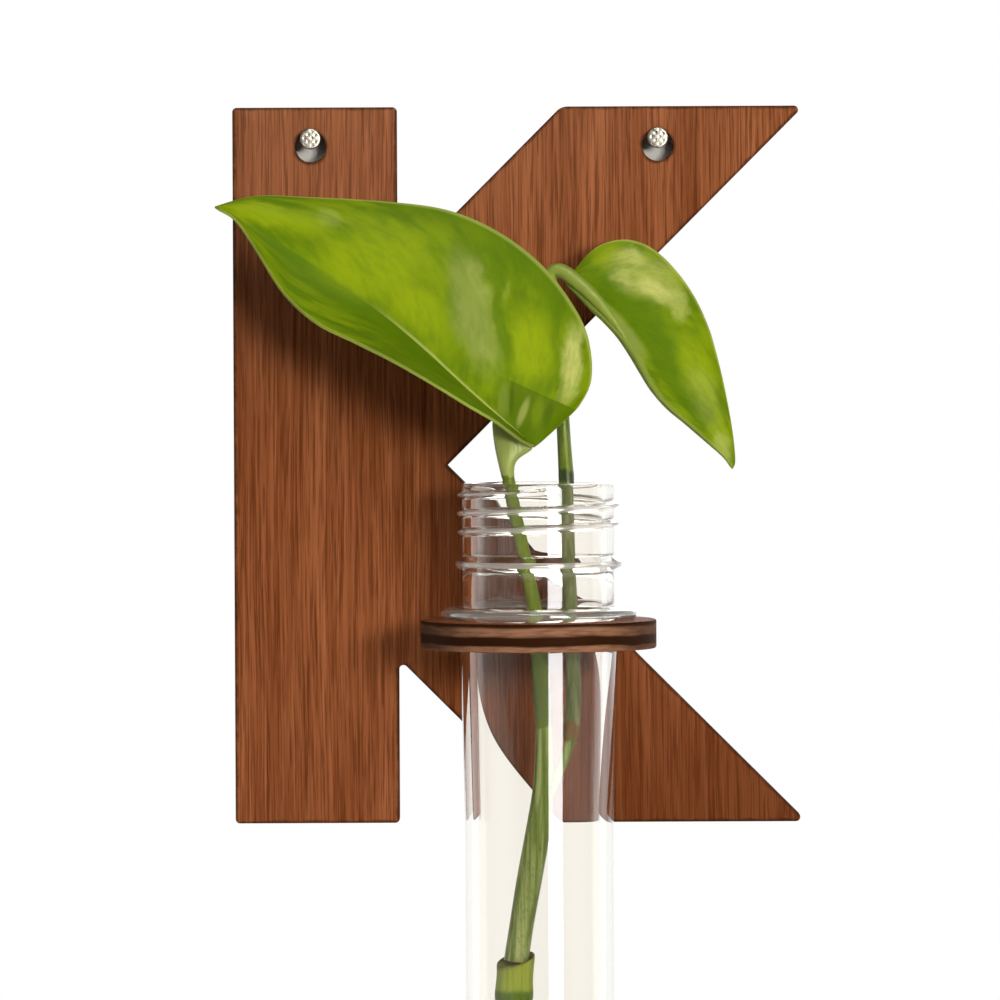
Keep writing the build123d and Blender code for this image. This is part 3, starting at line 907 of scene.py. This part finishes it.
def clear_material(name, base, clearness, roughness, gloss):
    """A clear or milky finish that lets most light through to what lies behind."""
    material, shader = new_material(
        name,
        Base_Color=(*base, 1),
        Transmission_Weight=clearness,
        IOR=1.28,
        Coat_Weight=gloss,
        Coat_IOR=1.5,
        Sheen_Weight=0.03 * gloss,
        Sheen_Roughness=0.25,
    )
    tree = shader.id_data
    spot = coordinates(shader)
    haze = cloud(spot, (260, 260, 60), 3.0)
    wire(shader, Roughness=rise(haze, 0.45, 0.8, roughness, roughness + 0.03))
    _, y, z = split(spot)
    low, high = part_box("tube")
    ring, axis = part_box("tube_ring")[0].z, (low.y + high.y) / 2
    veil = tint(rise(z, ring - 0.006, ring), (0.93, 0.905, 0.87), (0.5, 0.49, 0.47))
    veil = tint(rise(y, axis - 0.004, axis + 0.004), (1.0, 1.0, 0.99), veil)
    open_shadow = node(tree, "ShaderNodeBsdfTransparent", {"Color": veil}).outputs[0]
    shadow = node(tree, "ShaderNodeLightPath").outputs["Is Shadow Ray"]
    mixed = node(tree, "ShaderNodeMixShader", {0: shadow, 1: shader.outputs[0], 2: open_shadow})
    wire(next(made for made in tree.nodes if made.type == "OUTPUT_MATERIAL"), Surface=mixed.outputs[0])
    return material


def tube_profile(foot, rim):
    """The tube's outline in mm, from its foot up the outside, over the rim and down the bore."""
    seat = rim - NECK_HEIGHT
    dome = foot + BODY_RADIUS
    rows = [(0, foot)]
    for step in range(1, 16):
        turn = step * math.pi / 32
        rows += [(BODY_RADIUS * math.sin(turn), dome - BODY_RADIUS * math.cos(turn))]
    rows += [(BODY_RADIUS, dome)] + [(radius, seat + up) for radius, up in SHOULDER]
    for step in range(9):
        turn = math.radians(22.5 * step - 90)
        rows += [(LIP_MIDDLE + LIP_RADIUS * math.cos(turn), seat + LIP_RADIUS + LIP_RADIUS * math.sin(turn))]
    rows += [(radius, seat + up) for radius, up in NECK]
    low, high = seat + THREAD_FOOT, rim - THREAD_TOP
    rows += [(NECK_RADIUS, low + (high - low) * step / THREAD_RINGS) for step in range(THREAD_RINGS + 1)]
    rows += [(radius, rim - down) for radius, down in RIM]
    rows += [(radius, seat + up) for radius, up in BORE] + [(BODY_BORE, dome)]
    for step in range(1, 14):
        turn = step * math.pi / 28
        rows += [(BODY_BORE * math.cos(turn), dome - BODY_BORE * math.sin(turn))]
    return rows + [(0, dome - BODY_BORE)]


def thread_ridge(turn, height, pitch):
    """How much of the thread stands at a share of a turn and a height over the thread's start."""
    ridge = 0.0
    for lap in range(-1, 4):
        wound = turn + lap
        fade = clamp((wound - THREAD_START) / THREAD_FADE) * clamp((THREAD_END - wound) / THREAD_FADE)
        off = abs(height - pitch * wound)
        ridge = max(ridge, fade * clamp((THREAD_HALF - off) / THREAD_FLANK))
    return ridge * ridge * (3 - 2 * ridge)


class VASE_OT_tube(bpy.types.Operator):
    """Model the clear tube with its threaded neck, bead and flange"""

    bl_idname = "vase.tube"
    bl_label = "Clear tube"

    def execute(self, context):
        sizes = context.scene.vase_sizes
        low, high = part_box("tube")
        middle = (low + high) / 2
        rim = high.z / MM
        seat = rim - NECK_HEIGHT
        profile = tube_profile(low.z / MM, rim)
        piece = turned("tube_clear", profile, (middle.x / MM, middle.y / MM, 0), (0, 0, 1), 160)
        thread_low = (seat + THREAD_FOOT - 0.01) * MM
        thread_high = (rim - THREAD_TOP + 0.01) * MM
        first = (rim - THREAD_FIRST) * MM
        milky = set()
        for point in piece.data.vertices:
            out = Vector((point.co.x - middle.x, point.co.y - middle.y, 0))
            if out.length > 0.0132 and point.co.z > (seat - 0.01) * MM:
                milky.add(point.index)
            if out.length > 0.0126 and thread_low < point.co.z < thread_high:
                turn = (math.atan2(-out.y, -out.x) / math.tau) % 1.0
                ridge = thread_ridge(turn, point.co.z - first, sizes.thread_pitch)
                point.co += out.normalized() * (sizes.thread_reach * ridge)
                if ridge > 0.3:
                    milky.add(point.index)
        clear, *others = (clear_material(*finish) for finish in TUBE_FINISHES)
        finish_piece(piece, "tube", clear, ["tube"], 40)
        for finish in others:
            piece.data.materials.append(finish)
        for face in piece.data.polygons:
            inside = face.normal.xy.dot(face.center.xy - middle.xy) < 0
            if inside and face.center.z < (rim - 0.5) * MM:
                face.material_index = INNER
            elif milky.issuperset(face.vertices):
                face.material_index = FLANGE if face.center.z < (seat + 3) * MM else MILKY
        return {"FINISHED"}


def base_shade(spot, tone, kinds):
    """The painted shade at the big leaf's base, with a crisp upper edge, and a pale streak and soft bands inside it.
    """
    x, _, z = split(spot)
    line = calc("ADD", z, times(calc("SUBTRACT", x, 0.00482), 0.4528))
    below = rise(line, -0.0411, -0.04135)
    right = calc("ADD", rise(x, 0.0012, 0.003, 0.0, 0.4), rise(x, 0.0038, 0.005, 0.0, 0.5))
    # Painted shade: the big leaf's base darkens below a crisp slanted line, most towards its right
    tone = tint(times(below, right), tone, kinds["shade"])
    for *oval, kind in BASE_MARKS:
        tone = tint(times(patch(spot, *oval), below), tone, kinds[kind])
    return tone


def leaf_material(name, colours, patches, bands, shade):
    """Waxy leaf tissue with mottled greens, pale patches, a pale midrib and a thin pale rim, with painted sheen in
    some grey and pale patches and painted shade in the big leaf's fold and at its base.
    """
    material, shader = new_material(name, Specular_IOR_Level=0.06, Subsurface_Weight=0.05, Subsurface_Scale=0.002)
    uv, spot = coordinates(shader, "UV"), coordinates(shader)
    tissue = use_group("leaf_tissue", UV=uv)
    along = split(uv)[0]
    drift = node(shader.id_data, "ShaderNodeTexNoise", {"Vector": spot, "Scale": 240.0, "Detail": 3.0}).outputs[1]
    drift = vector_calc("SUBTRACT", drift, (0.5, 0.5, 0.5))
    loose = vector_calc("ADD", vector_calc("MULTIPLY", drift, (0.0035,) * 3), spot)
    # Colours by kind: grey and some pale patches are painted sheen; shade, dark and the big leaf's valley band are
    # painted shade
    kinds = {
        "pale": colours.leaf_cream_and_sheen,
        "deep": colours.leaf_dark_and_shade,
        "bright": colours.leaf_bright,
        "grey": colours.leaf_grey_and_sheen,
        "shade": colours.leaf_shade,
        # Darker marks inside the painted shade at the big leaf's base
        "dark": (0.05, 0.09, 0.001),
    }
    tone = tint(rise(tissue["Mottle"], 0.0, 1.0, 0.15, 1.0), kinds["deep"], colours.leaf_light)
    ragged = rise(tissue["Fine"], 0.0, 1.0, 0.65, 1.0)
    for across, length, power, kind in bands:
        share = times(band(tissue["Out"], across), band(along, length))
        tone = tint(times(share, power), tone, kinds[kind])
    for *oval, kind in patches:
        tone = tint(calc("MULTIPLY", patch(loose, *oval), ragged, True), tone, kinds[kind])
    if shade:
        tone = base_shade(spot, tone, kinds)
        tone = tint(times(tissue["Midrib"], 0.6), tone, kinds["pale"])
    tone = tint(times(tissue["Rim"], 0.35), tone, kinds["pale"])
    height = calc("ADD", tissue["Mottle"], times(tissue["Fine"], 0.4))
    rough = rise(tissue["Fine"], 0.0, 1.0, 0.42, 0.55)
    wire(shader, Base_Color=tone, Roughness=rough, Normal=bump(height, 0.00008, 0.4))
    return material


def big_blade(u, v):
    """A point of the big leaf at shares of its length and its width."""
    ux, uz, mx, mz, lx, lz, forward = through(BIG_LEAF, u)
    back = -28 + 6 * u
    if v >= 0.5:
        t = (v - 0.5) * 2
        far = math.hypot(ux - mx, uz - mz)
        crown = 1.3 * math.sin(math.pi * t) * min(1, far / 12)
        spot = (between(mx, ux, t), back + 0.36 * far * t - crown, between(mz, uz, t))
    else:
        t = (0.5 - v) * 2
        crown = 0.9 * math.sin(math.pi * t) * min(1, forward / 8)
        spot = (between(mx, lx, t), back - forward * t + crown, between(mz, lz, t))
    return Vector(spot) * MM


def small_blade(u, v):
    """A point of the small leaf at shares of its length and its width."""
    ox, oz, mx, mz, sx, sz = through(SMALL_LEAF, u)
    back = -15.6 - 9.5 * u
    full = math.sin(math.pi * min(max(u, 0.03), 1)) ** 0.6
    if v >= 0.5:
        t = (v - 0.5) * 2
        far = math.hypot(ox - mx, oz - mz)
        crown = 1.0 * math.sin(math.pi * t) * min(1, far / 10)
        spot = (between(mx, ox, t), back + 0.33 * far * t - crown, between(mz, oz, t))
    elif v >= 0.3:
        t = (0.5 - v) / 0.2
        spot = (between(mx, sx, t), back + 1.2 * t * t * full, between(mz, sz, t))
    else:
        t = (0.3 - v) / 0.3
        spot = (sx + 2.6 * t * full, back + (1.2 + 5.5 * t) * full, sz + 2.2 * t * full)
    return Vector(spot) * MM


class VASE_OT_leaves(bpy.types.Operator):
    """Model the two leaf blades"""

    bl_idname = "vase.leaves"
    bl_label = "Leaves"

    def execute(self, context):
        thickness = context.scene.vase_sizes.leaf_thickness
        colours = context.scene.vase_colours
        left = leaf_sheet("leaf_big", big_blade, 96, 48, thickness)
        right = leaf_sheet("leaf_small", small_blade, 80, 44, thickness)
        tissue = leaf_material("leaf_big_tissue", colours, BIG_PATCHES, BIG_BANDS, True)
        finish_piece(left, "cutting", tissue, ["leaf_left"], 60)
        tissue = leaf_material("leaf_small_tissue", colours, SMALL_PATCHES, SMALL_BANDS, False)
        finish_piece(right, "cutting", tissue, ["leaf_right"], 60)
        return {"FINISHED"}


def stalk_material(name, base, pale, grey, bands=()):
    """Green stalk with lengthwise streaks, fine specks and any bands across it, such as the painted light on the left
    stalk's knee.
    """
    material, shader = new_material(name, Specular_IOR_Level=0.3, Subsurface_Weight=0.05, Subsurface_Scale=0.002)
    spot = coordinates(shader)
    skin = use_group("stalk_streaks", Vector=spot)
    streak = skin["Streak"]
    tone = tint(times(streak, 0.75), base, pale)
    tone = tint(times(skin["Speck"], 0.45), tone, grey)
    height = calc("ADD", split(spot)[2], times(streak, 0.0007))
    for (low, high), hue, power in bands:
        share = times(rise(height, low, low + BAND_BLUR, 0.0, power), rise(height, high + BAND_BLUR, high))
        tone = tint(share, tone, hue)
    wire(shader, Base_Color=tone, Roughness=rise(streak, 0.0, 1.0, 0.32, 0.5), Normal=bump(streak, 0.00008, 0.5))
    return material


class VASE_OT_stalks(bpy.types.Operator):
    """Model the leaf stalks, the stem and its cut end"""

    bl_idname = "vase.stalks"
    bl_label = "Stalks and stem"

    def execute(self, context):
        green = context.scene.vase_colours.stalk
        fleck = (0.06, 0.09, 0.01)
        left = join_pieces([stalk_tube("stalk_left", LEFT_STALK), skinned("stalk_left_knee", KNEE)], "stalk_left")
        skin = stalk_material("stalk_left_skin", green, (0.16, 0.19, 0.03), fleck, (KNEE_LIGHT_BAND, UNDER_RING_BAND))
        finish_piece(left, "cutting", skin, ["petiole_left"], 60)
        right = stalk_tube("stalk_right", RIGHT_STALK)
        skin = stalk_material("stalk_right_skin", green, (0.17, 0.2, 0.035), fleck, (RIM_BAND, HOOK_BAND))
        finish_piece(right, "cutting", skin, ["petiole_right"], 60)
        sheath = stalk_tube("sheath_right", SHEATH)
        tones = ((0.1, 0.125, 0.03), (0.24, 0.25, 0.12), (0.06, 0.07, 0.03))
        skin = stalk_material("sheath_skin", *tones, (RIM_BAND, SCALE_BAND))
        finish_piece(sheath, "cutting", skin, ["sheath_right"], 60)
        stem = join_pieces([stalk_tube("stem_lower", STEM), stalk_tube("stem_branch", BRANCH)], "stem_lower")
        skin = stalk_material("stem_skin", (0.09, 0.13, 0.014), (0.34, 0.38, 0.15), (0.05, 0.075, 0.011))
        finish_piece(stem, "cutting", skin, ["stem"], 60)
        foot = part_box("node_collar")[0].z / MM
        end = stalk_tube("stem_cut_end", [(x, y, foot + z, radius) for x, y, z, radius in STEM_END])
        skin = stalk_material("stem_end_skin", (0.05, 0.09, 0.008), (0.12, 0.17, 0.02), (0.03, 0.04, 0.012))
        finish_piece(end, "cutting", skin, ["stem_end"], 60)
        return {"FINISHED"}


def collar_material(name, lime, floor):
    """Lime skin with a brown cup and lip, and a deep green foot below the cup's floor."""
    material, shader = new_material(name, Specular_IOR_Level=0.2)
    spot = coordinates(shader)
    skin = use_group("stalk_streaks", Vector=spot)
    streak = skin["Streak"]
    zones = node(shader.id_data, "ShaderNodeAttribute", attribute_name="zones").outputs["Color"]
    lip, cup, _ = node(shader.id_data, "ShaderNodeSeparateColor", {0: zones}).outputs
    tone = tint(streak, lime, (0.25, 0.29, 0.05))
    tone = tint(cup, tone, (0.2, 0.17, 0.03))
    tone = tint(times(lip, 0.85), tone, (0.05, 0.032, 0.008))
    ragged = calc("ADD", split(spot)[2], times(skin["Speck"], 0.0006))
    tone = tint(rise(ragged, floor - 0.0044, floor - 0.0056, 0, 0.85), tone, (0.05, 0.1, 0.006))
    wire(shader, Base_Color=tone, Roughness=rise(streak, 0, 1, 0.4, 0.55), Normal=bump(streak, 0.0001, 0.6))
    return material


class VASE_OT_collar(bpy.types.Operator):
    """Model the node collar with its dark scar rim"""

    bl_idname = "vase.collar"
    bl_label = "Node collar"

    def execute(self, context):
        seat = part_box("node_collar")[1].z / MM - COLLAR_LIP
        middle = Vector((4.75, -25.6, seat)) * MM
        piece = turned("collar_lime", COLLAR, middle / MM, (-0.05, 0, -1), 64)
        zones = piece.data.attributes.new("zones", "FLOAT_COLOR", "POINT")
        for point, zone in zip(piece.data.vertices, zones.data):
            off = (point.co - middle) / MM
            lip = clamp((off.z - 0.5) / 0.4)
            cup = 1.0 if math.hypot(off.x, off.y) < 2.9 and off.z > -2.5 else 0.0
            zone.color = (lip, cup, 0, 1)
            free = clamp((off.z + 2.2) / 2.6)
            point.co.z += free * (0.9 * off.x / 3.2 + 0.8 * off.y / 3.2 - 0.75) * MM
        material = collar_material("collar_skin", context.scene.vase_colours.collar, seat * MM)
        finish_piece(piece, "cutting", material, ["node_collar"], 50)
        return {"FINISHED"}


class VASE_OT_roots(bpy.types.Operator):
    """Model the young roots"""

    bl_idname = "vase.roots"
    bl_label = "Roots"

    def execute(self, context):
        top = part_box("roots")[1].z / MM
        made = []
        for number, line in enumerate(ROOTS):
            points = [(x, y, top + z, radius) for (x, y, z), radius in zip(line, ROOT_RADII)]
            made.append(stalk_tube(f"root_{number}", points, 5))
        material, shader = new_material("root_skin", Specular_IOR_Level=0.35)
        skin = use_group("stalk_streaks", Vector=coordinates(shader))
        tone = tint(skin["Streak"], (0.42, 0.36, 0.16), (0.62, 0.56, 0.32))
        tone = tint(times(skin["Speck"], 0.4), tone, (0.25, 0.18, 0.07))
        wire(shader, Base_Color=tone, Roughness=rise(skin["Streak"], 0, 1, 0.45, 0.6))
        finish_piece(join_pieces(made, "roots_young"), "cutting", material, ["roots"], 60)
        return {"FINISHED"}


def disc(radius, vertices, place, turn=0.0):
    """A flat round stage piece, turned about X."""
    clear_selection()
    bpy.ops.mesh.primitive_circle_add(
        vertices=vertices, radius=radius, fill_type="NGON", location=place, rotation=(turn, 0, 0)
    )
    settle()
    return bpy.context.object


def set_floor():
    """A pale round floor under the vase that fades out towards its rim."""
    low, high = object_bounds()
    middle = (low + high) / 2
    height = low.z - FLOOR_DROP
    floor = disc(0.55, 96, (middle.x, middle.y, height))
    floor.name = "stage_floor"
    material, shader = new_material(
        "stage_pale", Base_Color=(0.85, 0.85, 0.84, 1), Roughness=0.9, Emission_Color=(1, 1, 1, 1)
    )
    place = {"Vector": coordinates(shader), "Location": (-middle.x, -middle.y, -height)}
    far = vector_calc("LENGTH", node(shader.id_data, "ShaderNodeMapping", place).outputs[0])
    ray = node(shader.id_data, "ShaderNodeLightPath").outputs
    seen = calc("MAXIMUM", ray["Is Camera Ray"], ray["Is Transmission Ray"])
    seen = calc("MAXIMUM", seen, ray["Is Glossy Ray"])
    wire(shader, Alpha=rise(far, 0.53, 0.3), Emission_Strength=times(seen, 0.4))
    floor.data.materials.append(material)
    floor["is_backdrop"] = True


def set_wall():
    """Two pale discs of wall behind the hanging holes, seen only from the front."""
    discs = [disc(0.0036, 48, (side, 0.0002, -HOLE_DROP), math.pi / 2) for side in (-NAIL_SIDE, NAIL_SIDE)]
    wall = join_pieces(discs, "stage_wall")
    material, shader = new_material("stage_wall_pale", Base_Color=(0.8, 0.77, 0.72, 1), Roughness=0.9)
    hidden = node(shader.id_data, "ShaderNodeNewGeometry").outputs["Backfacing"]
    wire(shader, Alpha=calc("SUBTRACT", 1.0, hidden))
    wall.data.materials.append(material)
    wall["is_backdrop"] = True


def set_world(scene):
    """A white studio, with a dim room, a tall window and two panes for reflections."""
    world = bpy.data.worlds.new("studio")
    scene.world = world
    world.use_nodes = True
    tree = world.node_tree
    tree.nodes.clear()
    x, y, z = split(node(tree, "ShaderNodeTexCoord").outputs["Generated"])
    ray = node(tree, "ShaderNodeLightPath").outputs
    sides = rise(calc("ABSOLUTE", x), 0.35, 0.95, 0.0, 0.4)
    room = calc("MAXIMUM", rise(y, 0.0, 0.75, 0.05, 1.0), sides)
    bearing = calc("DIVIDE", x, calc("MINIMUM", y, -0.01))
    window = times(band(bearing, (-0.75, -0.7, -0.27, -0.23)), rise(y, -0.2, -0.4))
    window = times(times(window, band(z, (-0.5, -0.4, 0.5, 0.6))), 15.0)
    for edge, full, level in ((-0.7, -0.9, 1.0), (0.75, 0.92, 1.3)):
        pane = times(rise(x, edge, full), rise(y, -0.05, 0.1))
        window = calc("ADD", window, times(pane, level))
    outside = calc("SUBTRACT", 1.0, ray["Transmission Depth"], True)
    room = calc("ADD", room, times(window, outside))
    clear = rise(calc("ABSOLUTE", y), 0.0, 0.5, 0.75, 1.06)
    straight = calc("SUBTRACT", ray["Is Transmission Ray"], ray["Glossy Depth"], True)
    bounced = calc("MAXIMUM", ray["Is Glossy Ray"], ray["Is Transmission Ray"])
    bounced = calc("SUBTRACT", bounced, ray["Diffuse Depth"], True)
    strength = mix(bounced, 0.1, mix(straight, room, clear))
    strength = mix(ray["Is Camera Ray"], strength, 1.0)
    sky = node(tree, "ShaderNodeBackground", {"Color": (1, 1, 1, 1), "Strength": strength})
    node(tree, "ShaderNodeOutputWorld", {"Surface": sky.outputs[0]})


def set_lamps():
    """Area lamps round the vase, each hidden from the rays in which it would show."""
    for name, azimuth, elevation, distance, width, height, power, hue in LAMPS:
        a, e = math.radians(azimuth), math.radians(elevation)
        way = Vector((math.sin(a) * math.cos(e), -math.cos(a) * math.cos(e), math.sin(e)))
        lamp = bpy.data.lights.new(name, "AREA")
        lamp.shape = "RECTANGLE"
        lamp.size = width
        lamp.size_y = height
        lamp.energy = power
        lamp.color = hue
        holder = new_object(name, lamp)
        turn = way.to_track_quat("Z", "Y").to_matrix().to_4x4()
        holder.matrix_world = Matrix.Translation(LAMP_TARGET + way * distance) @ turn
        holder.visible_camera = False
        holder.visible_diffuse = name != "ceiling_card"
        holder.visible_glossy = name not in ("window_key", "sky_soft")
        holder.visible_transmission = name != "window_key"


def set_camera(scene):
    """The camera of the photo's view."""
    camera = bpy.data.cameras.new("photo_view")
    camera.lens = 295.8
    camera.sensor_width = 36
    camera.clip_start = 0.01
    camera.clip_end = 50
    viewer = new_object("photo_view", camera)
    tilt = Matrix.Rotation(math.radians(90 - 1.56), 4, "X") @ Matrix.Rotation(math.radians(-0.239), 4, "Z")
    viewer.matrix_world = Matrix.Translation((0.00247, -scene.vase_sizes.camera_distance, -0.02349)) @ tilt
    scene.camera = viewer
    scene.view_settings.view_transform = "Standard"


class VASE_OT_stage(bpy.types.Operator):
    """Set the floor, the light and the camera"""

    bl_idname = "vase.stage"
    bl_label = "Stage"

    def execute(self, context):
        set_floor()
        set_wall()
        set_world(context.scene)
        set_lamps()
        set_camera(context.scene)
        return {"FINISHED"}


class VASE_PT_sidebar(bpy.types.Panel):
    """Lists the vase's operators, sizes and colours"""

    bl_idname = "VASE_PT_sidebar"
    bl_label = "Propagation vase"
    bl_space_type = "VIEW_3D"
    bl_region_type = "UI"
    bl_category = "Vase"

    def draw(self, context):
        layout = self.layout
        for step in STEPS:
            layout.operator(f"vase.{step}")
        for group in (context.scene.vase_sizes, context.scene.vase_colours):
            for key in group.__annotations__:
                layout.prop(group, key)


STEPS = ("board", "ring", "nails", "tube", "leaves", "stalks", "collar", "roots", "stage")
CLASSES = (
    VaseSizes,
    VaseColours,
    VASE_OT_board,
    VASE_OT_ring,
    VASE_OT_nails,
    VASE_OT_tube,
    VASE_OT_leaves,
    VASE_OT_stalks,
    VASE_OT_collar,
    VASE_OT_roots,
    VASE_OT_stage,
    VASE_PT_sidebar,
)


def register():
    """Register the classes and hang the property groups on the scene."""
    for made in CLASSES:
        bpy.utils.register_class(made)
    bpy.types.Scene.vase_sizes = PointerProperty(type=VaseSizes)
    bpy.types.Scene.vase_colours = PointerProperty(type=VaseColours)


def unregister():
    """Take the property groups and the classes away again."""
    del bpy.types.Scene.vase_colours
    del bpy.types.Scene.vase_sizes
    for made in reversed(CLASSES):
        bpy.utils.unregister_class(made)


def main():
    """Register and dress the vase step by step."""
    register()
    build_groups()
    for step in STEPS:
        getattr(bpy.ops.vase, step)()


if __name__ == "__main__":
    main()
